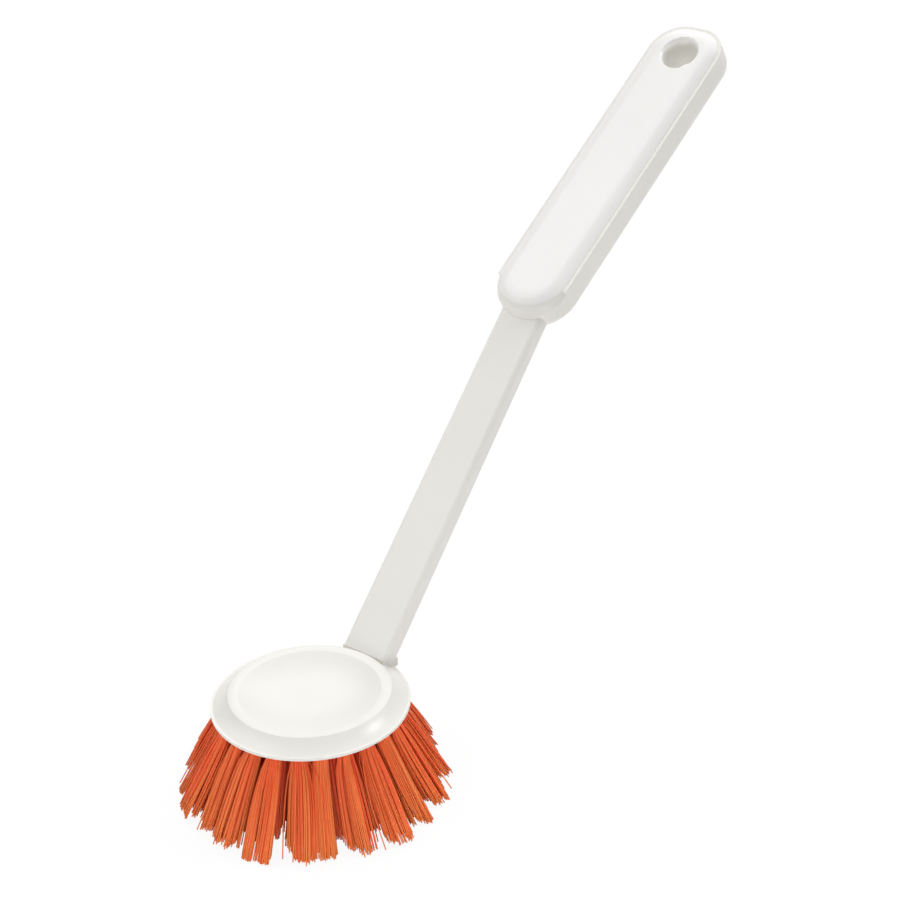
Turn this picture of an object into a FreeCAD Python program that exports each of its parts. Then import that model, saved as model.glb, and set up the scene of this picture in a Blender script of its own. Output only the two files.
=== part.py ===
import FreeCAD, Part
import math
import os
import Sketcher
from FreeCAD import Vector

# Dish brush: a round tufted head moulded with a raked neck, whose tang is seated in
# the nose of a hollow grip tray, and a cover inside a narrow ledge along the tray.
# X runs from the head towards the grip, Z up along the head's axis, and the
# origin is the middle of the brushing face, where the tufts are trimmed flat.

doc = FreeCAD.newDocument("DishBrush")
sheet = doc.addObject("Spreadsheet::Sheet", "Sizes")

SIZES = (
    # Head plate: lip, hollow flange, rounded crest, dish and the block for the tufts
    ("rim_radius", 30.2),
    ("rim_height", 30.0),
    ("lip_height", 0.9),
    ("lip_width", 0.8),
    ("crest_radius", 24.7),
    ("crest_height", 4.5),
    ("crest_round", 8.0),
    ("cove_round", 14.0),
    ("dish_radius", 21.5),
    ("dish_depth", 2.1),
    ("dish_flat", 8.5),
    ("block_radius", 27.2),
    ("block_depth", 1.8),
    # Neck, from the crest up to the nose of the grip
    ("neck_reach", 25.1),
    ("neck_start", 4.5),
    ("neck_rise", 45.0),
    ("neck_length", 115.5),
    ("neck_root_width", 17.3),
    ("neck_tip_width", 15.7),
    ("neck_thickness", 5.5),
    ("neck_edge", 1.7),
    ("neck_tang", 6.0),
    ("tang_clearance", 0.05),
    ("neck_drop", 4.4),
    ("foot_reach", 31.2),
    ("foot_inset", 0.3),
    # Grip: tray below the parting plane, crowned cover above it
    ("grip_rise", 31.0),
    ("grip_length", 120.6),
    ("grip_width", 26.6),
    ("nose_corner", 13.0),
    ("end_corner", 11.0),
    ("tray_depth", 10.8),
    ("tray_edge", 4.4),
    ("tray_wall", 1.9),
    ("hollow_start", 13.0),
    ("hollow_corner", 3.0),
    ("cover_height", 1.8),
    ("cover_lip", 0.2),
    ("cover_corner", 11.8),
    ("cover_skin", 1.6),
    ("crown_radius", 6.5),
    ("ledge_width", 1.2),
    ("ledge_start", 11.0),
    ("skirt_depth", 1.8),
    ("skirt_wall", 1.2),
    ("skirt_clearance", 0.15),
    # Hanging hole through the end of the grip
    ("hang_inset", 12.4),
    ("hang_radius", 6.2),
    ("hang_wall", 2.0),
    ("hang_edge", 0.6),
    # Tufts: holes, folded bundles and the flat wire anchors that hold the folds
    ("hole_radius", 1.85),
    ("hole_depth", 3.2),
    ("bundle_clearance", 0.05),
    ("bundle_collar", 1.8),
    ("tip_radius", 3.6),
    ("anchor_thickness", 0.45),
    ("anchor_height", 1.4),
    ("anchor_bite", 0.45),
    ("fold_height", 0.4),
    # Rings of tufts: how many, where they leave the block and how far they splay
    ("outer_count", 22),
    ("outer_mouth", 24.2),
    ("outer_splay", 27.0),
    ("outer_turn", 0.0),
    ("middle_count", 18),
    ("middle_mouth", 17.4),
    ("middle_splay", 17.5),
    ("middle_turn", 0.0),
    ("inner_count", 9),
    ("inner_mouth", 9.4),
    ("inner_splay", 8.5),
    ("inner_turn", 0.0),
)
for row, (alias, value) in enumerate(SIZES, 1):
    sheet.set("A%d" % row, alias)
    sheet.set("B%d" % row, str(value))
    sheet.setAlias("B%d" % row, alias)
doc.recompute()


def size(expression):
    """The number that an expression on the sheet gives."""
    return float(sheet.evalExpression(expression))


# Sketches and their driven sizes

def sketch_on(body, name, role, place=None):
    """A sketch on one of the body's own planes, moved and turned by an expression."""
    sketch = body.newObject("Sketcher::SketchObject", name)
    plane = [item for item in body.Origin.OriginFeatures if item.Role == role][0]
    sketch.AttachmentSupport = [(plane, "")]
    sketch.MapMode = "FlatFace"
    if place:
        sketch.setExpression("AttachmentOffset", place)
    return sketch


def drive(sketch, name, expression, kind, *where):
    """A dimension of the sketch that follows the sheet."""
    index = sketch.addConstraint(Sketcher.Constraint(kind, *where, size(expression)))
    sketch.renameConstraint(index, name)
    sketch.setExpression("Constraints." + name, expression)


def tie(sketch, *constraints):
    """Constraints that carry no size, such as tangent or horizontal."""
    for constraint in constraints:
        sketch.addConstraint(Sketcher.Constraint(*constraint))


def line(x0, y0, x1, y1):
    return Part.LineSegment(Vector(x0, y0, 0), Vector(x1, y1, 0))


def arc(x, y, radius, start, end):
    """An arc about (x, y), anticlockwise between two angles in degrees."""
    circle = Part.Circle(Vector(x, y, 0), Vector(0, 0, 1), radius)
    return Part.ArcOfCircle(circle, math.radians(start), math.radians(end))


def circle_at(sketch, x, radius, name):
    """A driven circle with its centre on the sketch's X axis."""
    shape = Part.Circle(Vector(size(x), 0, 0), Vector(0, 0, 1), size(radius))
    index = sketch.addGeometry(shape)
    tie(sketch, ("PointOnObject", index, 3, -1))
    drive(sketch, name + "_radius", radius, "Radius", index)
    drive(sketch, name + "_place", x, "DistanceX", -1, 1, index, 3)
    return index


def add(body, kind, name, profile, **settings):
    """A feature on a sketch, with plain settings and lengths that follow the sheet."""
    feature = body.newObject("PartDesign::" + kind, name)
    feature.Profile = profile
    for key, value in settings.items():
        if key.startswith("drive_"):
            feature.setExpression(key[6:], value)
        else:
            setattr(feature, key, value)
    doc.recompute()
    return feature


# Places along the brush, in the terms of the sheet

NECK_X = "Sizes.neck_reach"
NECK_Z = "(Sizes.rim_height + Sizes.neck_start)"
GRIP_X = ("(Sizes.neck_reach + Sizes.neck_length * cos(Sizes.neck_rise)"
          " - Sizes.neck_drop * sin(Sizes.grip_rise))")
GRIP_Z = ("(Sizes.rim_height + Sizes.neck_start + Sizes.neck_length * sin(Sizes.neck_rise)"
          " + Sizes.neck_drop * cos(Sizes.grip_rise))")
HANG_X = "(Sizes.grip_length - Sizes.hang_inset)"
BLOCK_Z = "(Sizes.rim_height - Sizes.block_depth)"


def grip_plane(lift="0"):
    """The parting plane of the grip, X along the grip, or a plane a set lift above it."""
    return ("placement(vector(%s; 0; %s); rotation(vector(0; 1; 0); -Sizes.grip_rise))"
            " * placement(vector(0; 0; %s); rotation(vector(0; 0; 1); 0))" % (GRIP_X, GRIP_Z, lift))


GRIP_SIDE = ("placement(vector(%s; %s; 0); rotation(vector(0; 0; 1); Sizes.grip_rise))"
             % (GRIP_X, GRIP_Z))


def neck_top(lift):
    """The neck's top face, or a plane a set lift above it, X up along the neck."""
    return ("placement(vector(%s; 0; %s); rotation(vector(0; 1; 0); -Sizes.neck_rise))"
            " * placement(vector(0; 0; %s); rotation(vector(0; 0; 1); 0))" % (NECK_X, NECK_Z, lift))


def grip_outline(sketch, start, corner, inset):
    """The grip seen from above: blunt nose and end, both with rounded corners."""
    half, end = "Sizes.grip_width / 2 - (%s)" % inset, "Sizes.grip_length - (%s)" % inset
    end_corner = "Sizes.end_corner - (%s)" % inset
    x0, x1, y, r, q = (size(item) for item in (start, end, half, corner, end_corner))
    sketch.addGeometry([
        line(x0 + r, -y, x1 - q, -y),
        arc(x1 - q, q - y, q, -90, 0),
        line(x1, q - y, x1, y - q),
        arc(x1 - q, y - q, q, 0, 90),
        line(x1 - q, y, x0 + r, y),
        arc(x0 + r, y - r, r, 90, 180),
        line(x0, y - r, x0, r - y),
        arc(x0 + r, r - y, r, 180, 270),
    ])
    for side in range(8):
        tie(sketch, ("Tangent", side, 2, (side + 1) % 8, 1))
    tie(sketch, ("Horizontal", 0), ("Vertical", 2), ("Horizontal", 4), ("Vertical", 6),
        ("Equal", 1, 3), ("Equal", 5, 7))
    drive(sketch, "end_corner", end_corner, "Radius", 1)
    drive(sketch, "nose_corner", corner, "Radius", 5)
    drive(sketch, "half_width", half, "DistanceY", -1, 1, 4, 1)
    drive(sketch, "width", "2 * (%s)" % half, "DistanceY", 0, 1, 4, 2)
    drive(sketch, "nose_front", start, "DistanceX", -1, 1, 6, 1)
    drive(sketch, "end_back", end, "DistanceX", -1, 1, 2, 1)


def edges_where(shape, test):
    """The names of a shape's edges that pass a test."""
    return ["Edge%d" % n for n, edge in enumerate(shape.Edges, 1) if not edge.Degenerated and test(edge)]


def grip_frame():
    """The parting plane's place, for finding edges by their height above it."""
    turn = FreeCAD.Rotation(Vector(0, 1, 0), -size("Sizes.grip_rise"))
    return FreeCAD.Placement(Vector(size(GRIP_X), 0, size(GRIP_Z)), turn)


def on_level(edge, height):
    """True for an edge that lies at one height above the parting plane."""
    level = grip_frame().inverse()
    ends = (edge.FirstParameter, edge.LastParameter, (edge.FirstParameter + edge.LastParameter) / 2)
    return all(abs(level.multVec(edge.valueAt(end)).z - height) < 0.001 for end in ends)


def round_edges(body, name, base, chosen, radius):
    """Rounds the edges of a feature that pass a test."""
    rounded = body.newObject("PartDesign::Fillet", name)
    rounded.Base = (base, edges_where(base.Shape, chosen))
    rounded.setExpression("Radius", radius)
    doc.recompute()
    return rounded


def on_bore(edge, low, high):
    """True for an edge round the hanging hole, between two heights above the parting plane."""
    level = grip_frame().inverse()
    ends = (edge.FirstParameter, edge.LastParameter, (edge.FirstParameter + edge.LastParameter) / 2)
    spots = [level.multVec(edge.valueAt(end)) - Vector(size(HANG_X), 0, 0) for end in ends]
    reach = size("Sizes.hang_radius")
    return all(abs(math.hypot(spot.x, spot.y) - reach) < 0.001 and low < spot.z < high for spot in spots)


def bevel_edges(body, name, base, chosen, width):
    """Bevels the edges of a feature that pass a test."""
    bevelled = body.newObject("PartDesign::Chamfer", name)
    bevelled.Base = (base, edges_where(base.Shape, chosen))
    bevelled.setExpression("Size", width)
    doc.recompute()
    return bevelled


# Brush head: the neck with the tang at its end, then the head plate and its holes

body = doc.addObject("PartDesign::Body", "BrushHead")
body.Label = "brush_head"

TANG_END = "(Sizes.neck_length + Sizes.neck_tang)"


def neck_bar(owner, name, start, end, room):
    """A length of the neck, a flat tapered bar with rounded edges, with room left round it."""
    sketch = sketch_on(owner, name + "Plan", "XY_Plane", neck_top(room))
    halves = ["(Sizes.neck_root_width / 2 + (Sizes.neck_tip_width - Sizes.neck_root_width) / 2 * (%s) / %s + %s)"
              % (distance, TANG_END, room) for distance in (start, end)]
    x0, x1, y0, y1 = (size(item) for item in (start, end, halves[0], halves[1]))
    sketch.addGeometry([line(x0, -y0, x1, -y1), line(x1, -y1, x1, y1), line(x1, y1, x0, y0), line(x0, y0, x0, -y0)])
    tie(sketch, ("Coincident", 0, 2, 1, 1), ("Coincident", 1, 2, 2, 1), ("Coincident", 2, 2, 3, 1),
        ("Coincident", 3, 2, 0, 1), ("Symmetric", 1, 1, 1, 2, -1), ("Symmetric", 3, 1, 3, 2, -1))
    drive(sketch, "bar_start", start, "DistanceX", -1, 1, 3, 1)
    drive(sketch, "bar_end", end, "DistanceX", -1, 1, 1, 1)
    drive(sketch, "start_width", "2 * " + halves[0], "DistanceY", 3, 2, 3, 1)
    drive(sketch, "end_width", "2 * " + halves[1], "DistanceY", 1, 1, 1, 2)
    bar = add(owner, "Pad", name, sketch, Reversed=True, drive_Length="Sizes.neck_thickness + 2 * %s" % room)
    long_side = 0.9 * (x1 - x0)
    return round_edges(owner, name + "Round", bar, lambda edge: edge.Length > long_side,
                       "Sizes.neck_edge + %s" % room)


neck = neck_bar(body, "Neck", "0", TANG_END, "0")

# Head plate, turned about Z: block, lip, hollow flange, crest and dish
head_sketch = sketch_on(body, "HeadSection", "XZ_Plane")
RIM_Z = "Sizes.rim_height"
LIP_Z = "(Sizes.rim_height + Sizes.lip_height)"
CREST_Z = "(Sizes.rim_height + Sizes.crest_height)"
DISH_Z = "(Sizes.rim_height + Sizes.crest_height - Sizes.dish_depth)"
COVE_X = "(Sizes.rim_radius - Sizes.lip_width)"
zb, zr, zl, zc, zd = (size(e) for e in (BLOCK_Z, RIM_Z, LIP_Z, CREST_Z, DISH_Z))
xb, xr, xv = size("Sizes.block_radius"), size("Sizes.rim_radius"), size(COVE_X)
xc, xd, rc = size("Sizes.crest_radius"), size("Sizes.dish_radius"), size("Sizes.crest_round")
rv = size("Sizes.cove_round")
xf = size("Sizes.dish_flat")
rd = ((xd - xf) ** 2 + (zc - zd) ** 2) / (2 * (zc - zd))
cove_run, cove_rise = xv - xc, zc - zl
cove_long = math.hypot(cove_run, cove_rise)
cove_half = math.degrees(math.asin(cove_long / 2 / rv))
cove_deep = math.sqrt(rv ** 2 - cove_long ** 2 / 4) / cove_long
cove_x = (xv + xc) / 2 + cove_deep * cove_rise
cove_z = (zl + zc) / 2 + cove_deep * cove_run
cove = math.degrees(math.atan2(-cove_run, -cove_rise))
crest = math.degrees(math.acos((xc - xd) / 2 / rc))
dish = math.degrees(math.asin((xd - xf) / rd))
head_sketch.addGeometry([
    line(0, zb, xb, zb),
    line(xb, zb, xb, zr),
    line(xb, zr, xr, zr),
    line(xr, zr, xr, zl),
    line(xr, zl, xv, zl),
    arc(cove_x, cove_z, rv, cove - cove_half, cove + cove_half),
    arc((xc + xd) / 2, zc - rc * math.sin(math.radians(crest)), rc, crest, 180 - crest),
    arc(xf, zd + rd, rd, 270, 270 + dish),
    line(xf, zd, 0, zd),
    line(0, zd, 0, zb),
])
tie(head_sketch, ("Coincident", 0, 2, 1, 1), ("Coincident", 1, 2, 2, 1), ("Coincident", 2, 2, 3, 1),
    ("Coincident", 3, 2, 4, 1), ("Coincident", 4, 2, 5, 2), ("Coincident", 5, 1, 6, 1),
    ("Coincident", 6, 2, 7, 2), ("Tangent", 7, 1, 8, 1), ("Coincident", 8, 2, 9, 1), ("Coincident", 9, 2, 0, 1),
    ("Horizontal", 0), ("Vertical", 1), ("Horizontal", 2), ("Vertical", 3), ("Horizontal", 4),
    ("Horizontal", 8), ("Vertical", 9), ("PointOnObject", 0, 1, -2),
    ("Horizontal", 6, 1, 6, 2))
drive(head_sketch, "block_radius", "Sizes.block_radius", "DistanceX", -1, 1, 0, 2)
drive(head_sketch, "block_face", BLOCK_Z, "DistanceY", -1, 1, 0, 1)
drive(head_sketch, "rim_face", RIM_Z, "DistanceY", -1, 1, 3, 1)
drive(head_sketch, "rim_radius", "Sizes.rim_radius", "DistanceX", -1, 1, 3, 1)
drive(head_sketch, "lip_height", "Sizes.lip_height", "DistanceY", 3, 1, 3, 2)
drive(head_sketch, "lip_width", "Sizes.lip_width", "DistanceX", 4, 2, 4, 1)
drive(head_sketch, "cove_round", "Sizes.cove_round", "Radius", 5)
drive(head_sketch, "crest_radius", "Sizes.crest_radius", "DistanceX", -1, 1, 6, 1)
drive(head_sketch, "crest_height", CREST_Z, "DistanceY", -1, 1, 6, 1)
drive(head_sketch, "crest_round", "Sizes.crest_round", "Radius", 6)
drive(head_sketch, "dish_radius", "Sizes.dish_radius", "DistanceX", -1, 1, 6, 2)
drive(head_sketch, "dish_floor", DISH_Z, "DistanceY", -1, 1, 8, 1)
drive(head_sketch, "dish_flat", "Sizes.dish_flat", "DistanceX", -1, 1, 8, 1)
head = add(body, "Revolution", "Head", head_sketch, ReferenceAxis=(head_sketch, ["V_Axis"]), Angle=360.0)

# Foot: the neck's back stands straight down on the rim
foot_sketch = sketch_on(body, "FootSide", "XZ_Plane")
FOOT_TOP = ("(%s - Sizes.neck_thickness / cos(Sizes.neck_rise)"
            " + (Sizes.foot_reach - %s) * tan(Sizes.neck_rise))" % (NECK_Z, NECK_X))
foot_sketch.addGeometry([
    line(size(NECK_X), zr, size("Sizes.foot_reach"), zr),
    line(size("Sizes.foot_reach"), zr, size("Sizes.foot_reach"), size(FOOT_TOP)),
    line(size("Sizes.foot_reach"), size(FOOT_TOP), size(NECK_X), size(NECK_Z)),
    line(size(NECK_X), size(NECK_Z), size(NECK_X), zr),
])
tie(foot_sketch, ("Coincident", 0, 2, 1, 1), ("Coincident", 1, 2, 2, 1), ("Coincident", 2, 2, 3, 1),
    ("Coincident", 3, 2, 0, 1), ("Horizontal", 0), ("Vertical", 1), ("Vertical", 3))
drive(foot_sketch, "foot_face", RIM_Z, "DistanceY", -1, 1, 0, 1)
drive(foot_sketch, "foot_front", NECK_X, "DistanceX", -1, 1, 0, 1)
drive(foot_sketch, "foot_back", "Sizes.foot_reach", "DistanceX", -1, 1, 0, 2)
drive(foot_sketch, "foot_top", FOOT_TOP, "DistanceY", -1, 1, 1, 2)
drive(foot_sketch, "foot_join", NECK_Z, "DistanceY", -1, 1, 2, 2)
foot = add(body, "Pad", "Foot", foot_sketch, Midplane=True,
           drive_Length="Sizes.neck_root_width - 2 * Sizes.foot_inset")


# Tuft holes, splayed ring by ring, each with slits where the anchor bites its wall

def tuft_turn(turn):
    return "placement(vector(0; 0; 0); rotation(vector(0; 0; 1); %s))" % turn


# The holes and the bundles in them are eight-sided, with a flat towards the head's axis
EIGHTH = " * placement(vector(0; 0; 0); rotation(vector(0; 0; 1); 22.5))"


def hole_plane(mouth, splay, turn, depth):
    """A plane square to a tuft hole, at a depth along it from the block's face."""
    return ("%s * placement(vector(%s; 0; %s); rotation(vector(0; 1; 0); -(%s)))"
            " * placement(vector(0; 0; %s); rotation(vector(0; 0; 1); 0))"
            % (tuft_turn(turn), mouth, BLOCK_Z, splay, depth))


def drill_ring(name, mouth, splay, turn, count):
    """One tuft hole and its anchor's slits, repeated round the head where a ring has more."""
    before = body.Tip.Shape.Volume
    hole = body.newObject("PartDesign::SubtractivePrism", name + "Hole")
    hole.AttachmentSupport = [([item for item in body.Origin.OriginFeatures if item.Role == "XY_Plane"][0], "")]
    hole.MapMode = "FlatFace"
    hole.Polygon = 8
    hole.setExpression("AttachmentOffset", hole_plane(mouth, splay, turn, "-Sizes.hole_radius") + EIGHTH)
    hole.setExpression("Circumradius", "Sizes.hole_radius / cos(22.5)")
    hole.setExpression("Height", "Sizes.hole_depth + Sizes.hole_radius")
    doc.recompute()
    slit_sketch = sketch_on(body, name + "Slit", "XY_Plane", hole_plane(
        mouth, splay, turn, "(Sizes.hole_depth - Sizes.fold_height - Sizes.anchor_height)"))
    x = size("Sizes.anchor_thickness") / 2
    y = size("Sizes.hole_radius + Sizes.anchor_bite")
    slit_sketch.addGeometry([line(-x, -y, x, -y), line(x, -y, x, y), line(x, y, -x, y), line(-x, y, -x, -y)])
    tie(slit_sketch, ("Coincident", 0, 2, 1, 1), ("Coincident", 1, 2, 2, 1), ("Coincident", 2, 2, 3, 1),
        ("Coincident", 3, 2, 0, 1), ("Horizontal", 0), ("Vertical", 1), ("Horizontal", 2),
        ("Vertical", 3), ("Symmetric", 0, 1, 1, 2, -1, 1))
    drive(slit_sketch, "across", "Sizes.anchor_thickness", "DistanceX", 0, 1, 0, 2)
    drive(slit_sketch, "along", "2 * (Sizes.hole_radius + Sizes.anchor_bite)", "DistanceY", 1, 1, 1, 2)
    slit = add(body, "Pocket", name + "Slits", slit_sketch, Reversed=True, drive_Length="Sizes.anchor_height")
    if not slit.Shape.Volume < hole.Shape.Volume < before:
        raise RuntimeError("the tuft holes miss the block: " + name)
    if count is None:
        return
    ring = body.newObject("PartDesign::PolarPattern", name + "Ring")
    ring.Originals = [hole, slit]
    axis = [item for item in body.Origin.OriginFeatures if item.Role == "Z_Axis"][0]
    ring.Axis = (axis, [""])
    ring.Angle = 360.0
    ring.setExpression("Occurrences", count)
    body.Tip = ring
    doc.recompute()


RINGS = (
    ("outer", "Sizes.outer_mouth", "Sizes.outer_splay", "Sizes.outer_turn", "Sizes.outer_count"),
    ("middle", "Sizes.middle_mouth", "Sizes.middle_splay", "Sizes.middle_turn", "Sizes.middle_count"),
    ("inner", "Sizes.inner_mouth", "Sizes.inner_splay", "Sizes.inner_turn", "Sizes.inner_count"),
    ("centre", "0", "0", "0", None),
)
for ring_name, mouth, splay, turn, count in RINGS:
    drill_ring(ring_name.capitalize(), mouth, splay, turn, count)

# Grip tray: a long open box with a rolled nose, which takes the neck's tang

tray_body = doc.addObject("PartDesign::Body", "GripTray")
tray_body.Label = "grip_tray"

tray_sketch = sketch_on(tray_body, "TrayOutline", "XY_Plane", grip_plane())
grip_outline(tray_sketch, "0.0", "Sizes.nose_corner", "0")
tray = add(tray_body, "Pad", "Tray", tray_sketch, drive_Length="Sizes.tray_depth", Reversed=True)
tray_round = round_edges(tray_body, "TrayRound", tray, lambda edge: on_level(edge, -size("Sizes.tray_depth")),
                         "Sizes.tray_edge")

# The crown of the grip is a wide block with its top edge rolled over. It reaches out
# past the tray's sides, and its nose is flush with the tray's
CROWN_OUT = ("(Sizes.crown_radius - sqrt(Sizes.crown_radius ^ 2"
             " - (Sizes.crown_radius - Sizes.cover_height + Sizes.cover_lip) ^ 2))")


def crown_form(owner, name):
    sketch = sketch_on(owner, name + "Outline", "XY_Plane",
                       grip_plane("(Sizes.cover_height - 3 * Sizes.crown_radius)"))
    grip_outline(sketch, "0.0", "Sizes.cover_corner + " + CROWN_OUT, "Sizes.ledge_width - " + CROWN_OUT)
    block = add(owner, "Pad", name, sketch, drive_Length="3 * Sizes.crown_radius")
    return round_edges(owner, name + "Round", block, lambda edge: on_level(edge, size("Sizes.cover_height")),
                       "Sizes.crown_radius")


def cut_away(owner, name, tool):
    """Cuts the shape of another body out of this one."""
    cut = owner.newObject("PartDesign::Boolean", name)
    cut.Type = "Cut"
    cut.setObjects([tool])
    doc.recompute()
    return cut


# The tray's nose is rolled over in the crown's own form, up to where the ledge starts
nose_form = doc.addObject("PartDesign::Body", "NoseForm")
crown_form(nose_form, "Nose")
nose_waste = doc.addObject("PartDesign::Body", "NoseWaste")
waste_sketch = sketch_on(nose_waste, "WasteSide", "XZ_Plane", GRIP_SIDE)
x, y = size("Sizes.ledge_start"), size("2 * Sizes.crown_radius")
waste_sketch.addGeometry([line(-x, -y, x, -y), line(x, -y, x, y), line(x, y, -x, y), line(-x, y, -x, -y)])
tie(waste_sketch, ("Coincident", 0, 2, 1, 1), ("Coincident", 1, 2, 2, 1), ("Coincident", 2, 2, 3, 1),
    ("Coincident", 3, 2, 0, 1), ("Horizontal", 0), ("Vertical", 1), ("Horizontal", 2), ("Vertical", 3),
    ("Symmetric", 0, 1, 1, 2, -1, 1))
drive(waste_sketch, "along", "2 * Sizes.ledge_start", "DistanceX", 0, 1, 0, 2)
drive(waste_sketch, "upright", "4 * Sizes.crown_radius", "DistanceY", 1, 1, 1, 2)
add(nose_waste, "Pad", "NoseBlock", waste_sketch, drive_Length="2 * Sizes.grip_width", Midplane=True)
cut_away(nose_waste, "NoseShell", nose_form)
cut_away(tray_body, "NoseRolled", nose_waste)

# The tang's seat in the nose has the neck's own taper, with clearance all round
tang_room = doc.addObject("PartDesign::Body", "TangRoom")
neck_bar(tang_room, "Room", "(Sizes.neck_length - Sizes.neck_tang)", "(%s + Sizes.tang_clearance)" % TANG_END,
         "Sizes.tang_clearance")
cut_away(tray_body, "TangSeat", tang_room)

# The tray is hollow behind the solid nose, with a post left round the hanging hole
HANG_POST = "(Sizes.hang_radius + Sizes.hang_wall)"
hollow_sketch = sketch_on(tray_body, "TrayHollow", "XY_Plane", grip_plane())
grip_outline(hollow_sketch, "Sizes.hollow_start", "Sizes.hollow_corner", "Sizes.tray_wall")
circle_at(hollow_sketch, HANG_X, HANG_POST, "post")
hollow = add(tray_body, "Pocket", "Hollow", hollow_sketch, drive_Length="Sizes.tray_depth - Sizes.tray_wall")
hang_sketch = sketch_on(tray_body, "TrayHang", "XY_Plane", grip_plane())
circle_at(hang_sketch, HANG_X, "Sizes.hang_radius", "hang")
hang = add(tray_body, "Pocket", "TrayHangHole", hang_sketch, drive_Length="2 * Sizes.tray_depth", Midplane=True)
hang_bevel = bevel_edges(tray_body, "TrayHangBevel", hang, lambda edge: on_bore(
    edge, -1.01 * size("Sizes.tray_depth"), -0.99 * size("Sizes.tray_depth")), "Sizes.hang_edge")

# Grip cover: a crowned lid, a skirt that drops inside the tray's wall and a hanging hole

cover = doc.addObject("PartDesign::Body", "GripCover")
cover.Label = "grip_cover"

# The crown's form, of which the cover keeps the part inside the ledge
crown_round = crown_form(cover, "Crown")


def wide_block(sketch):
    """A rectangle well outside the crown's block."""
    x0, x1, y = (size(item) for item in ("-Sizes.grip_length", "2 * Sizes.grip_length", "2 * Sizes.grip_width"))
    first = sketch.addGeometry(line(x0, -y, x1, -y))
    sketch.addGeometry([line(x1, -y, x1, y), line(x1, y, x0, y), line(x0, y, x0, -y)])
    second, third, last = first + 1, first + 2, first + 3
    tie(sketch, ("Coincident", first, 2, second, 1), ("Coincident", second, 2, third, 1),
        ("Coincident", third, 2, last, 1), ("Coincident", last, 2, first, 1), ("Horizontal", first),
        ("Vertical", second), ("Horizontal", third), ("Vertical", last))
    drive(sketch, "block_ahead", "Sizes.grip_length", "DistanceX", first, 1, -1, 1)
    drive(sketch, "block_along", "3 * Sizes.grip_length", "DistanceX", first, 1, first, 2)
    drive(sketch, "block_side", "2 * Sizes.grip_width", "DistanceY", first, 1, -1, 1)
    drive(sketch, "block_across", "4 * Sizes.grip_width", "DistanceY", second, 1, second, 2)


below_sketch = sketch_on(cover, "BelowLid", "XY_Plane", grip_plane())
wide_block(below_sketch)
below = add(cover, "Pocket", "LidBase", below_sketch, drive_Length="4 * Sizes.crown_radius")
lid_sketch = sketch_on(cover, "LidOutline", "XY_Plane", grip_plane("Sizes.cover_height"))
grip_outline(lid_sketch, CROWN_OUT, "Sizes.cover_corner", "Sizes.ledge_width")
wide_block(lid_sketch)
lid = add(cover, "Pocket", "Lid", lid_sketch, drive_Length="2 * Sizes.crown_radius")
skirt_sketch = sketch_on(cover, "SkirtOutline", "XY_Plane", grip_plane())
SKIRT_START = "(Sizes.hollow_start + Sizes.skirt_clearance)"
SKIRT_INSET = "(Sizes.tray_wall + Sizes.skirt_clearance)"
grip_outline(skirt_sketch, SKIRT_START, "Sizes.hollow_corner", SKIRT_INSET)
circle_at(skirt_sketch, HANG_X, HANG_POST + " + Sizes.skirt_clearance", "post")
skirt = add(cover, "Pad", "Skirt", skirt_sketch, drive_Length="Sizes.skirt_depth", Reversed=True)

# The lid is cored out between the skirt's walls, short of the hanging hole
core_sketch = sketch_on(cover, "CoreOutline", "XY_Plane", grip_plane("-Sizes.skirt_depth"))
CORE_START = SKIRT_START + " + Sizes.skirt_wall"
CORE_END = HANG_X + " - " + HANG_POST + " - Sizes.skirt_clearance - Sizes.skirt_wall"
CORE_HALF = "Sizes.grip_width / 2 - " + SKIRT_INSET + " - Sizes.skirt_wall"
x0, x1, y = size(CORE_START), size(CORE_END), size(CORE_HALF)
core_sketch.addGeometry([line(x0, -y, x1, -y), line(x1, -y, x1, y), line(x1, y, x0, y), line(x0, y, x0, -y)])
tie(core_sketch, ("Coincident", 0, 2, 1, 1), ("Coincident", 1, 2, 2, 1), ("Coincident", 2, 2, 3, 1),
    ("Coincident", 3, 2, 0, 1), ("Horizontal", 0), ("Vertical", 1), ("Horizontal", 2), ("Vertical", 3))
drive(core_sketch, "core_start", CORE_START, "DistanceX", -1, 1, 0, 1)
drive(core_sketch, "core_end", CORE_END, "DistanceX", -1, 1, 1, 1)
drive(core_sketch, "core_left", CORE_HALF, "DistanceY", -1, 1, 2, 1)
drive(core_sketch, "core_width", "2 * (%s)" % CORE_HALF, "DistanceY", 1, 1, 1, 2)
core = add(cover, "Pocket", "Core", core_sketch, Reversed=True,
           drive_Length="Sizes.skirt_depth + Sizes.cover_height - Sizes.cover_skin")
eye_sketch = sketch_on(cover, "CoverHang", "XY_Plane", grip_plane())
circle_at(eye_sketch, HANG_X, "Sizes.hang_radius", "hang")
eye = add(cover, "Pocket", "CoverHangHole", eye_sketch, drive_Length="4 * Sizes.cover_height", Midplane=True)
eye_bevel = bevel_edges(cover, "CoverHangBevel", eye, lambda edge: on_bore(
    edge, size("Sizes.cover_lip / 2"), size("1.01 * Sizes.cover_height")), "Sizes.hang_edge")

# Tufts: a bundle folded over its anchor, straight in the hole, fanning out to the brushing face

BUNDLE = "(Sizes.hole_radius - Sizes.bundle_clearance)"
trim = doc.addObject("Part::Box", "BelowBrushingFace")
for side, expression in (("Length", "6 * Sizes.rim_radius"), ("Width", "6 * Sizes.rim_radius"),
                         ("Height", "Sizes.rim_height")):
    trim.setExpression(side, expression)
trim.setExpression("Placement", "placement(vector(-3 * Sizes.rim_radius; -3 * Sizes.rim_radius;"
                   " -Sizes.rim_height); rotation(vector(0; 0; 1); 0))")


def part(kind, name, place, **sizes):
    """A Part primitive whose sizes and place follow the sheet."""
    item = doc.addObject("Part::" + kind, name)
    for key, expression in sizes.items():
        item.setExpression(key, expression)
    item.setExpression("Placement", place)
    return item


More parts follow.
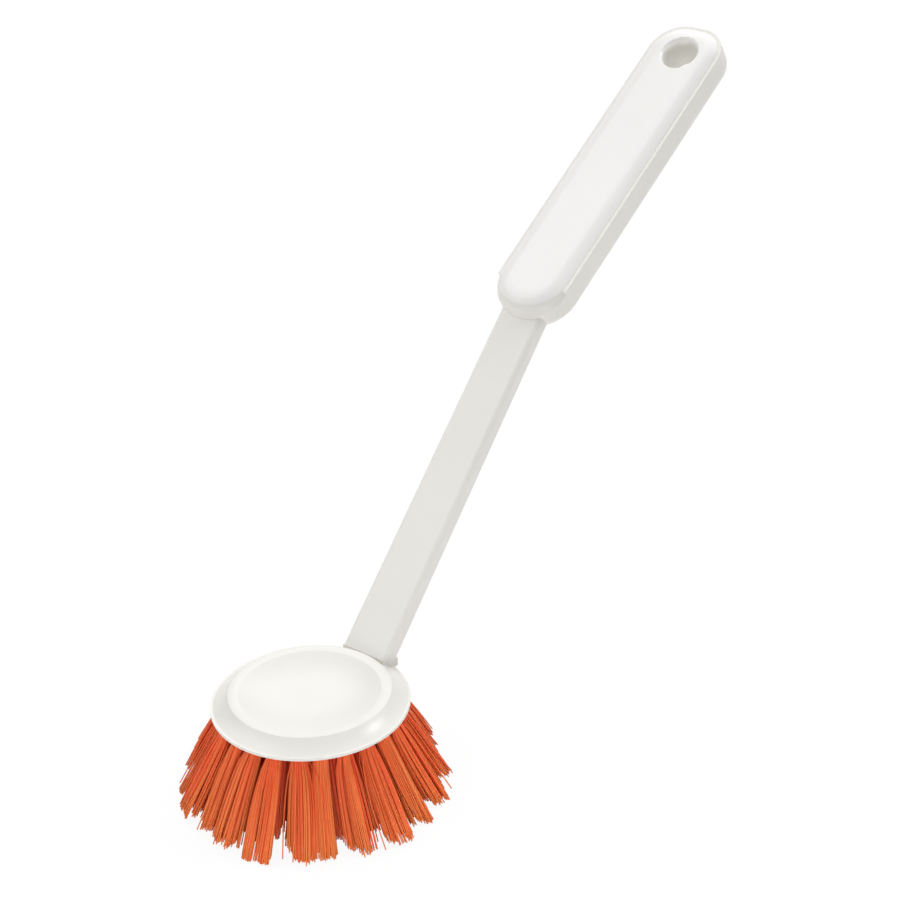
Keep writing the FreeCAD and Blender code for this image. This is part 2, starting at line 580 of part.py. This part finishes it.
def boolean(kind, name, base, tool):
    item = doc.addObject("Part::" + kind, name)
    item.Base = base
    item.Tool = tool
    return item


def make_tuft(name, mouth, splay, turn):
    """One tuft and the anchor in its fold, both on the hole's axis, Z pointing out of the hole."""
    seat = ("%s * placement(vector(%s; 0; %s); rotation(vector(0; 1; 0); 180 - (%s)))"
            " * placement(vector(%%s; %%s; %%s - Sizes.hole_depth); rotation(vector(0; 0; 1); 0))"
            % (tuft_turn(turn), mouth, BLOCK_Z, splay))
    reach = "(%s / cos(%s) - Sizes.bundle_collar)" % (BLOCK_Z, splay)
    length = "(%s + Sizes.tip_radius)" % reach
    straight = part("Prism", name + "_straight", seat % ("0", "0", "0") + EIGHTH,
                    Circumradius=BUNDLE + " / cos(22.5)", Height="Sizes.hole_depth + Sizes.bundle_collar")
    straight.Polygon = 8
    tip = "(%s + (Sizes.tip_radius - %s) * %s / %s)" % (BUNDLE, BUNDLE, length, reach)
    spread = []
    for turned in (0, 45):
        place = (seat % ("0", "0", "Sizes.hole_depth + Sizes.bundle_collar")
                 + " * placement(vector(0; 0; 0); rotation(vector(0; 0; 1); %d))" % turned
                 + " * placement(vector(0; 0; 0); rotation(vector(1; 0; 0); 90))")
        spread.append(part("Wedge", "%s_spread_%d" % (name, turned), place,
                           Xmin="-" + BUNDLE, Xmax=BUNDLE, Zmin="-" + BUNDLE, Zmax=BUNDLE, Ymin="0", Ymax=length,
                           X2min="-" + tip, X2max=tip, Z2min="-" + tip, Z2max=tip))
    fan = boolean("Common", name + "_fan", *spread)
    anchor = part("Box", name + "_anchor",
                  seat % ("-Sizes.anchor_thickness / 2", "-Sizes.hole_radius - Sizes.anchor_bite",
                          "Sizes.fold_height"),
                  Length="Sizes.anchor_thickness", Height="Sizes.anchor_height",
                  Width="2 * (Sizes.hole_radius + Sizes.anchor_bite)")
    bundle = boolean("Fuse", name + "_bundle", straight, fan)
    folded = boolean("Cut", name + "_folded", bundle, anchor)
    tuft = boolean("Cut", name, folded, trim)
    return tuft, anchor


tufts, wires = [], []
for ring_name, mouth, splay, turn, count in RINGS:
    number = int(size(count)) if count else 1
    for place in range(number):
        name = "tuft_%s_%02d" % (ring_name, place + 1) if count else "tuft_" + ring_name
        step = "(%s + %d * 360 / %s)" % (turn, place, count or "1")
        tuft, wire = make_tuft(name, mouth, splay, step)
        tuft.Label = name
        tufts.append(tuft)
        wires.append(wire)
anchors = doc.addObject("Part::Compound", "Anchors")
anchors.Links = wires
anchors.Label = "anchors"
doc.recompute()

# Every feature has to stand, and every piece has to be sound, before anything is written

pieces = [body, tray_body, cover, anchors] + tufts
for item in doc.Objects:
    if "Invalid" in item.State or "Error" in item.State:
        raise RuntimeError("%s did not build: %s" % (item.Name, item.State))
for piece in pieces:
    if piece.Shape.isNull() or not piece.Shape.isValid():
        raise RuntimeError("%s has no sound shape" % piece.Label)
    if piece is not anchors and len(piece.Shape.Solids) != 1:
        raise RuntimeError("%s is not one solid" % piece.Label)

os.makedirs("parts", exist_ok=True)
for piece in pieces:
    piece.Shape.exportStep("parts/%s.step" % piece.Label)
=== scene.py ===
import math

import bpy
import numpy as np
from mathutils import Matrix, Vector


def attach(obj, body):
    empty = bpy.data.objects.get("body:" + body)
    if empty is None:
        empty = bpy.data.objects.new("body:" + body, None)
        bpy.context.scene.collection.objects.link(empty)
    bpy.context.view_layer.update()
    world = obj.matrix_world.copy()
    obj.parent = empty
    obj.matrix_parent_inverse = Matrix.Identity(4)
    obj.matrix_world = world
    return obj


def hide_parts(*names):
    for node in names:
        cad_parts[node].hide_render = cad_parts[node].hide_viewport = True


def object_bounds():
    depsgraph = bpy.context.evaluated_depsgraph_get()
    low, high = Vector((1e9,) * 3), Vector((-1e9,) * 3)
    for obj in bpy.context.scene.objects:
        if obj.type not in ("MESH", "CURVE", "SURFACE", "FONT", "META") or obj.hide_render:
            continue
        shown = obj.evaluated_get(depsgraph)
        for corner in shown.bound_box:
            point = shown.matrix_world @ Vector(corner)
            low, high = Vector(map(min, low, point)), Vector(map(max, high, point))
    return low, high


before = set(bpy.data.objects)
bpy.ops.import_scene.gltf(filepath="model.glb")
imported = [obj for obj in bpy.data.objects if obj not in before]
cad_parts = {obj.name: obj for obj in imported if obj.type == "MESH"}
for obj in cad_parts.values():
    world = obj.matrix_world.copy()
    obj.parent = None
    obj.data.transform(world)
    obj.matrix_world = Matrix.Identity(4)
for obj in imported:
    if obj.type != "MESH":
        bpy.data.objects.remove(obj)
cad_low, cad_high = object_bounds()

bpy.ops.object.select_all(action="DESELECT")
scene = bpy.context.scene
scene.view_settings.view_transform = "Standard"

# Brush head with its neck: one moulding in warm white polypropylene, a dished round
# plate with a hollow flange round it and a flat bar that rakes up to the grip. It comes
# out of a polished mould, so it shines, with slow waves where the wall shrank.


class Socket:
    """One end of a node in a material; arithmetic on it adds Math nodes."""

    def __init__(self, tree, end=None):
        self.tree = tree
        self.end = end

    def fill(self, inputs, values):
        """Links each value to the input of its name, or writes it there if it is plain."""
        for name, value in values.items():
            if isinstance(value, Socket):
                self.tree.links.new(value.end, inputs[name])
            else:
                inputs[name].default_value = value

    def node(self, kind, settings, sockets, out=0):
        """A node of a type, with its settings and then its sockets' values or links."""
        made = self.tree.nodes.new(kind)
        for name, value in settings.items():
            setattr(made, name, value)
        self.fill(made.inputs, sockets)
        return Socket(self.tree, made.outputs[out] if made.outputs else None)

    def math(self, operation, first, second):
        """A Math node on two values."""
        return self.node("ShaderNodeMath", {"operation": operation}, {0: first, 1: second})

    def __add__(self, other):
        return self.math("ADD", self, other)

    __radd__ = __add__

    def __sub__(self, other):
        return self.math("SUBTRACT", self, other)

    def __rsub__(self, other):
        return self.math("SUBTRACT", other, self)

    def __mul__(self, other):
        return self.math("MULTIPLY", self, other)

    __rmul__ = __mul__

    def noise(self, scale, detail):
        """Soft noise on these coordinates, from about 0 to 1."""
        return self.node("ShaderNodeTexNoise", {},
                         {"Vector": self, "Scale": scale, "Detail": detail})

    def blend(self, low, high):
        """A colour that goes from low to high as this value goes from 0 to 1."""
        settings = {"data_type": "RGBA", "clamp_factor": True}
        return self.node("ShaderNodeMix", settings, {"Factor": self, 6: low, 7: high}, out=2)


def new_finish(name):
    """A material, the inputs of its one Principled shader and its object coordinates."""
    material = bpy.data.materials.new(name)
    material.use_nodes = True
    shader = material.node_tree.nodes["Principled BSDF"]
    place = Socket(material.node_tree).node("ShaderNodeTexCoord", {}, {}, out="Object")
    return material, shader.inputs, place


MILLIMETRE = 0.001
MIDDLE_GREY = 0.5
WHITENESS_CONTRAST = 1.6
CLOUD_ROUGHNESS = 0.06
RUB_ROUGHNESS = 0.02


def moulded_white(name, light, shade, gloss, wave):
    """Moulded plastic, uneven in whiteness, with a mean roughness and waves in mm."""
    material, shader, place = new_finish(name)
    cloud = place.noise(scale=38.0, detail=3.0) - MIDDLE_GREY
    rub = place.noise(scale=420.0, detail=4.0) - MIDDLE_GREY
    shrinkage = place.noise(scale=55.0, detail=1.0)
    waves = {"Strength": 1.0, "Distance": MILLIMETRE, "Height": shrinkage * wave}
    place.fill(shader, {
        "Base Color": (cloud * WHITENESS_CONTRAST + MIDDLE_GREY).blend(shade, light),
        "Roughness": gloss + cloud * CLOUD_ROUGHNESS + rub * RUB_ROUGHNESS,
        "Normal": place.node("ShaderNodeBump", {}, waves),
        "IOR": 1.49,
    })
    return material


def coat(node, finish):
    """Gives a CAD node its one finish."""
    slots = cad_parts[node].data.materials
    slots.clear()
    slots.append(finish)


WHITE_LIGHT = (0.875, 0.86, 0.815, 1.0)
WHITE_SHADE = (0.85, 0.832, 0.782, 1.0)
coat("brush_head", moulded_white("head_white_moulding", WHITE_LIGHT, WHITE_SHADE,
                                 gloss=0.3, wave=0.25))

# Grip tray: the lower shell of the grip, moulded in the same white and open at the top,
# with the neck's tang pressed into its nose and a post round the hanging hole.

coat("grip_tray", moulded_white("tray_white_moulding", WHITE_LIGHT, WHITE_SHADE,
                                gloss=0.33, wave=0.12))

# Grip cover: a thin crowned lid, snapped into the tray by its skirt. It is moulded apart
# from the tray, a little whiter and with a brighter polish.

COVER_LIGHT = (0.94, 0.93, 0.91, 1.0)
COVER_SHADE = (0.925, 0.912, 0.89, 1.0)
coat("grip_cover", moulded_white("cover_white_moulding", COVER_LIGHT, COVER_SHADE,
                                 gloss=0.2, wave=0.12))

# Anchors: short flat pieces of drawn steel wire, driven into the bottom of each hole so
# that their ends bite its wall and hold the folded bundle down.

WIRE_DARK = (0.5, 0.49, 0.47, 1.0)
WIRE_BRIGHT = (0.66, 0.65, 0.62, 1.0)
WIRE_ROUGHNESS = 0.3
DRAWN_ROUGHNESS = 0.2
DRAWING_STRETCH = (1.0, 1.0, 9.0)
anchor_wire, wire_shader, wire_place = new_finish("drawn_anchor_wire")
wire_lines = wire_place.node("ShaderNodeMapping", {},
                             {"Vector": wire_place, "Scale": DRAWING_STRETCH})
drawn = wire_lines.noise(scale=1500.0, detail=3.0)
wire_place.fill(wire_shader, {
    "Base Color": drawn.blend(WIRE_DARK, WIRE_BRIGHT),
    "Roughness": WIRE_ROUGHNESS + drawn * DRAWN_ROUGHNESS,
    "Metallic": 1.0,
})
coat("anchors", anchor_wire)

# Bristle tufts: bundles of orange nylon filament, folded in half over their anchors. They
# stand straight in the hole, fan out below it and are sheared off level at the brushing
# face, where the cut ends are a little ragged and a few filaments stray.

BRISTLE_RED = (0.97, 0.055, 0.022, 1.0)
BRISTLE_ORANGE = (1.0, 0.325, 0.08, 1.0)
# how the orange is mixed: from the tone, which holds painted shade, from painted shade that
# makes the filaments redder towards their roots under the head and paler at the tips, and from
# the filament's own speckle
ORANGE_FROM_TONE = 0.75
PAINTED_ROOT_SHADE = 0.25
ORANGE_FROM_SPECKLE = 0.25
BRISTLE_ROUGHNESS = 0.42
SPECKLE_ROUGHNESS = 0.16
bristle, bristle_shader, bristle_place = new_finish("orange_nylon_filament")
tone_and_painted_shade, along = (
    bristle_place.node("ShaderNodeAttribute", {"attribute_name": layer}, {}, out="Fac")
    for layer in ("tone_and_painted_shade", "along"))
speckle = bristle_place.noise(scale=900.0, detail=2.0)
# painted shade: redder towards the roots under the head, paler at the tips
orange = (ORANGE_FROM_TONE * tone_and_painted_shade + PAINTED_ROOT_SHADE * along
          + ORANGE_FROM_SPECKLE * (speckle - MIDDLE_GREY))
bristle_place.fill(bristle_shader, {
    "Base Color": orange.blend(BRISTLE_RED, BRISTLE_ORANGE),
    "Roughness": BRISTLE_ROUGHNESS + SPECKLE_ROUGHNESS * speckle,
    "Specular IOR Level": 0.35,
})

FILAMENT_RADIUS = 0.00019
FILAMENT_SIDES = 5
FILAMENT_CUTS = 6

# one filament, a five-sided rod of unit length, with only its long edges cut into rings
bpy.ops.mesh.primitive_cylinder_add(vertices=FILAMENT_SIDES, radius=FILAMENT_RADIUS, depth=1.0,
                                    end_fill_type="NGON", location=(0.0, 0.0, 0.5))
filament = bpy.context.object
bpy.ops.object.transform_apply(location=True, rotation=True, scale=True)
bpy.ops.object.mode_set(mode="EDIT")
bpy.ops.mesh.select_mode(type="EDGE")
bpy.ops.mesh.select_all(action="DESELECT")
bpy.ops.object.mode_set(mode="OBJECT")
for edge in filament.data.edges:
    ends = [filament.data.vertices[corner].co.z for corner in edge.vertices]
    edge.select = abs(ends[0] - ends[1]) > 0.5
bpy.ops.object.mode_set(mode="EDIT")
bpy.ops.mesh.subdivide(number_cuts=FILAMENT_CUTS)
bpy.ops.object.mode_set(mode="OBJECT")
rod = np.array([vertex.co for vertex in filament.data.vertices])
rod_faces = [list(face.vertices) for face in filament.data.polygons]
bpy.data.objects.remove(filament)

# how many filaments a tuft has, and how they are packed and cling together in locks
FILAMENTS = 180
LOCKS = 11
PACKING = 0.42
GOLDEN_ANGLE = 2.39996
FULL_TURN = 6.28


def packed_bundle(rng):
    """Each filament's rank from the middle outwards, its direction from it, and its lock."""
    number = np.arange(FILAMENTS)
    rank = (((number + 0.5) / FILAMENTS) ** PACKING)[:, None]
    angle = number * GOLDEN_ANGLE + rng.uniform(0, FULL_TURN)
    ring = np.stack([np.cos(angle), np.sin(angle)], 1)
    locks = rng.uniform(-1, 1, (LOCKS, 2))
    apart = (rank * ring)[:, None] - locks
    lock = np.argmin((apart ** 2).sum(axis=2), axis=1)
    return rank, ring, lock


# how far the cut ends lie from where an even fan would put them
FAN_CHANGE = 0.1
FAN_FILL = 0.9
FAN_OVAL = (0.95, 1.0)
TUFT_LEAN = 0.0011
LOCK_LEAN = 0.0008
FILAMENT_LEAN = 0.00022
STRAYS = 0.04
STRAY_LEAN = 0.0018


def fanned_ends(rng, rank, ring, lock, tip_radius):
    """Where each filament's end lies from the tuft's axis, outwards and sideways."""
    radius = tip_radius * rng.uniform(1 - FAN_CHANGE, 1 + FAN_CHANGE)
    fan = radius * rank ** FAN_FILL * ring * FAN_OVAL
    fan = fan + rng.normal(0, TUFT_LEAN, 2) + rng.normal(0, LOCK_LEAN, (LOCKS, 2))[lock]
    fan = fan + rng.normal(0, FILAMENT_LEAN, (FILAMENTS, 2))
    stray = rng.random((FILAMENTS, 1)) < STRAYS
    return fan + stray * rng.normal(0, STRAY_LEAN, (FILAMENTS, 2))


# how far each end stops short of the brushing face
LOCK_RAGGED = 0.0022
FILAMENT_RAGGED = 0.0006
LEAST_RAGGED = 0.00002
MOST_RAGGED = 0.0055


def ragged_levels(rng, lock):
    """The height of each filament's end over the brushing face."""
    level = (np.abs(rng.normal(0, LOCK_RAGGED, LOCKS))[lock]
             + np.abs(rng.normal(0, FILAMENT_RAGGED, FILAMENTS)) + LEAST_RAGGED)
    return np.minimum(level, MOST_RAGGED)


def tuft_mesh(name, path, tones_and_painted_shade, lengths):
    """The filaments along their paths, with the two layers that their finish reads, their tone
    with painted shade and their length, along which shade is painted towards the roots.
    """
    faces = [[corner + strand * len(rod) for corner in face]
             for strand in range(FILAMENTS) for face in rod_faces]
    mesh = bpy.data.meshes.new(name)
    mesh.from_pydata(path.reshape(-1, 3).tolist(), [], faces)
    for label, values in (("tone_and_painted_shade", np.repeat(tones_and_painted_shade, len(rod))), ("along", lengths.ravel())):
        layer = mesh.attributes.new(label, "FLOAT", "POINT")
        layer.data.foreach_set("value", values.astype(np.float32))
    mesh.materials.append(bristle)
    # the four-cornered sides are smooth and the cut ends flat
    mesh.polygons.foreach_set("use_smooth", [len(face) == 4 for face in faces])
    return mesh


# the hole and its collar, the trimmed length and reach, and how a filament runs between
HOLE_RADIUS = 0.00163
FOLD_DEPTH = 0.003
FOLD_GAP = 0.0004
COLLAR = 0.0012
FACE_TO_BLOCK = 0.0282
HEAD_REACH = 0.0423
DRAW_IN = 1.2
FLOOR_GAP = 0.00001
FLARE = 0.36
FILAMENT_BOW = 0.00018
LOCK_BOW = 0.0002
# each filament's tone: painted shade that makes a bundle's inner filaments redder, and random
# tone by lock and filament
PAINTED_CORE_SHADE = 0.2
TONE_FROM_LOCK = 0.45
TONE_FROM_FILAMENT = 0.35


def make_tuft(name, node, mouth, splay, tip_radius, paleness_under_painted_shade, turn, seed):
    """One tuft: the filament copied along its own path for each place in the bundle."""
    rng = np.random.default_rng(seed)
    lean, round_head = math.radians(splay), math.radians(turn)
    up = np.array([0.0, 0.0, 1.0])
    outward = np.array([math.cos(round_head), math.sin(round_head), 0.0])
    side = np.array([-math.sin(round_head), math.cos(round_head), 0.0])
    axis = outward * math.sin(lean) - up * math.cos(lean)
    across = outward * math.cos(lean) + up * math.sin(lean)
    start = outward * mouth + up * FACE_TO_BLOCK

    # in the hole the bundle is split in two by the anchor
    rank, ring, lock = packed_bundle(rng)
    held = HOLE_RADIUS * rank * ring
    held[:, 0] = np.where(held[:, 0] < 0, -1, 1) * np.maximum(np.abs(held[:, 0]), FOLD_GAP)
    fan = fanned_ends(rng, rank, ring, lock, tip_radius)
    bow = (rng.normal(0, FILAMENT_BOW, (FILAMENTS, 2))
           + rng.normal(0, LOCK_BOW, (LOCKS, 2))[lock])
    level = ragged_levels(rng, lock)

    # ends that pass the edge of the brush are drawn in, and cut to their level again
    for _ in range(2):
        foot = fan[:, :1] * across + fan[:, 1:] * side
        reach = (FACE_TO_BLOCK - level + foot[:, 2])[:, None] / math.cos(lean)
        past = np.linalg.norm((start + reach * axis + foot)[:, :2], axis=1) - HEAD_REACH
        fan[:, 0] -= DRAW_IN * np.maximum(past, 0)

    run = rod[:, 2] * (reach + FOLD_DEPTH) - FOLD_DEPTH
    share = np.clip((run - COLLAR) / (reach - COLLAR), 0, 1)[:, :, None]
    spread = (held[:, None] + (fan - held)[:, None] * share ** FLARE
              + bow[:, None] * np.sin(np.pi * share) + rod[:, :2])
    path = (start + run[:, :, None] * axis
            + spread[:, :, :1] * across + spread[:, :, 1:] * side)
    path[:, :, 2] = np.maximum(path[:, :, 2], FLOOR_GAP)
    # painted shade: a bundle's inner filaments and the inner rings are made redder; the rest
    # is random tone
    shade = (PAINTED_CORE_SHADE * rank[:, 0] + TONE_FROM_LOCK * rng.random(LOCKS)[lock]
             + TONE_FROM_FILAMENT * rng.random(FILAMENTS)) * paleness_under_painted_shade

    tuft = bpy.data.objects.new(name, tuft_mesh(name, path, shade, share))
    scene.collection.objects.link(tuft)
    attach(tuft, "root")
    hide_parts(node)


# each ring's tufts, their radius at the block, splay in degrees, radius of the fan at the
# tips, and how pale they are against the outer ones, where the inner rings' deeper red is
# painted shade
INNER_PAINTED_SHADE_PALENESS = 0.25
RINGS = (
    ("outer", 22, 0.0242, 27.0, 0.0038, 1.0),
    ("middle", 18, 0.0174, 17.5, 0.0047, INNER_PAINTED_SHADE_PALENESS),
    ("inner", 9, 0.0094, 8.5, 0.0045, INNER_PAINTED_SHADE_PALENESS),
)
for ring, count, mouth, splay, tip_radius, paleness_under_painted_shade in RINGS:
    for place in range(count):
        label = "%s_%02d" % (ring, place + 1)
        make_tuft("bristles_" + label, "tuft_" + label, mouth, splay, tip_radius, paleness_under_painted_shade,
                  turn=place * 360.0 / count, seed=100 * count + place)
make_tuft("bristles_centre", "tuft_centre", mouth=0.0, splay=0.0, tip_radius=0.0045,
          paleness_under_painted_shade=INNER_PAINTED_SHADE_PALENESS, turn=0.0, seed=7)

# Floor: a seamless white studio sheet, level with the brushing face. To the camera it is
# mostly plain white, and it keeps a faint shadow under the bristles.

WHITE = (1.0, 1.0, 1.0, 1.0)
PAPER_WHITE = (0.86, 0.86, 0.86, 1.0)
SHEET_GLOW = 1.03
SHEET_SHOWN = 0.9
bpy.ops.mesh.primitive_plane_add(size=8.0, location=(0.0, 0.0, 0.0))
floor = bpy.context.object
floor.name = "studio_floor"
sheet = bpy.data.materials.new("studio_sheet")
sheet.use_nodes = True
sheet.node_tree.nodes.clear()
sheet_nodes = Socket(sheet.node_tree)
seen = sheet_nodes.node("ShaderNodeLightPath", {}, {}, out="Is Camera Ray")
paper = sheet_nodes.node("ShaderNodeBsdfDiffuse", {}, {"Color": PAPER_WHITE})
glow = sheet_nodes.node("ShaderNodeEmission", {}, {"Color": WHITE, "Strength": SHEET_GLOW})
both = sheet_nodes.node("ShaderNodeMixShader", {},
                        {0: seen * SHEET_SHOWN, 1: paper, 2: glow})
sheet_nodes.node("ShaderNodeOutputMaterial", {}, {"Surface": both})
floor.data.materials.append(sheet)

# Light: a white tent all round, large soft lamps behind and to the left, a smaller one on
# the right and a strip that draw the highlights, and a low one in front of the bristles.

TENT_LIGHT = 0.29
TENT_SHOWN = 0.71
world = bpy.data.worlds.new("white_tent")
scene.world = world
world.use_nodes = True
world.node_tree.nodes.clear()
tent_nodes = Socket(world.node_tree)
direct, mirrored, through = (
    tent_nodes.node("ShaderNodeLightPath", {}, {}, out=ray)
    for ray in ("Is Camera Ray", "Is Glossy Ray", "Is Transmission Ray"))
shown = tent_nodes.math("MAXIMUM", tent_nodes.math("MAXIMUM", direct, mirrored), through)
tent = tent_nodes.node("ShaderNodeBackground", {},
                       {"Color": WHITE, "Strength": TENT_LIGHT + TENT_SHOWN * shown})
tent_nodes.node("ShaderNodeOutputWorld", {}, {"Surface": tent})


def soft_lamp(name, target, direction, distance, width, height, watts):
    """A flat lamp that faces a point on the brush."""
    lamp = bpy.data.lights.new(name, "AREA")
    lamp.shape = "RECTANGLE"
    lamp.size = width
    lamp.size_y = height
    lamp.energy = watts
    holder = bpy.data.objects.new(name, lamp)
    scene.collection.objects.link(holder)
    target = Vector(target)
    holder.location = target + Vector(direction).normalized() * distance
    holder.rotation_euler = (target - holder.location).to_track_quat("-Z", "Y").to_euler()


middle = (cad_low + cad_high) / 2
plate_middle = (0.0, 0.0, 0.035)
bristle_middle = (0.0, 0.0, 0.012)
soft_lamp("lamp_back", middle, direction=(0.5, 0.2, 0.84), distance=2.2,
          width=2.2, height=2.2, watts=25.5)
soft_lamp("lamp_left", middle, direction=(-0.35, 0.6, 0.72), distance=1.1,
          width=0.9, height=0.9, watts=4.4)
soft_lamp("lamp_side", middle, direction=(0.55, -0.5, 0.67), distance=2.4,
          width=0.6, height=0.6, watts=14.0)
soft_lamp("lamp_strip", plate_middle, direction=(0.6, 0.5, 0.6), distance=1.2,
          width=0.6, height=0.05, watts=0.2)
soft_lamp("lamp_low", bristle_middle, direction=(-0.722, -0.692, 0.02), distance=0.45,
          width=0.12, height=0.05, watts=0.66)

# Camera: a long lens that looks down on the head, at the place and turn that lay the
# rim, the neck and the grip over the photograph's.

camera = bpy.data.objects.new("camera", bpy.data.cameras.new("camera"))
scene.collection.objects.link(camera)
camera.data.sensor_width = 36.0
camera.data.lens = 96.342
camera.data.clip_start = 0.05
camera.location = (-0.438285, -0.419871, 0.440357)
camera.rotation_euler = [math.radians(turn) for turn in (61.642, 1.9538, -51.5642)]
scene.camera = camera
